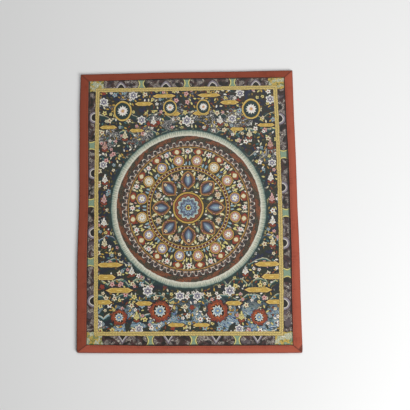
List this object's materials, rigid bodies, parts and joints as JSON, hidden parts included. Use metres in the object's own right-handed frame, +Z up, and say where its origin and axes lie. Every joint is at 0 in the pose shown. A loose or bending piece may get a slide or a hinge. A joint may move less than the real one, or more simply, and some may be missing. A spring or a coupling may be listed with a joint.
{
  "type": "thangka painting",
  "caption": "Upright painted cloth panel with a round medallion inside a gold-lined border, its edge folded into a plain red cloth binding with mitred corners; lies flat, face up.",
  "frame": {"origin": "middle of the outline, on the surface that the panel lies on", "axes": "+X to the picture's right, +Y to the picture's top, +Z up off the painted face"},
  "size_m": [0.362, 0.4654, 0.0042],
  "materials": {
    "painted_canvas": "primed cotton with opaque matt paint and a few gold-coloured lines",
    "red_binding": "plain-woven brick-red cotton, matt, a little worn at the fold",
    "sewing_thread": "matt cotton thread"
  },
  "bodies": {
    "root": {"painted_canvas": "painted_canvas", "binding_bottom": "red_binding", "binding_right": "red_binding", "binding_top": "red_binding", "binding_left": "red_binding"}
  },
  "joints": []
}
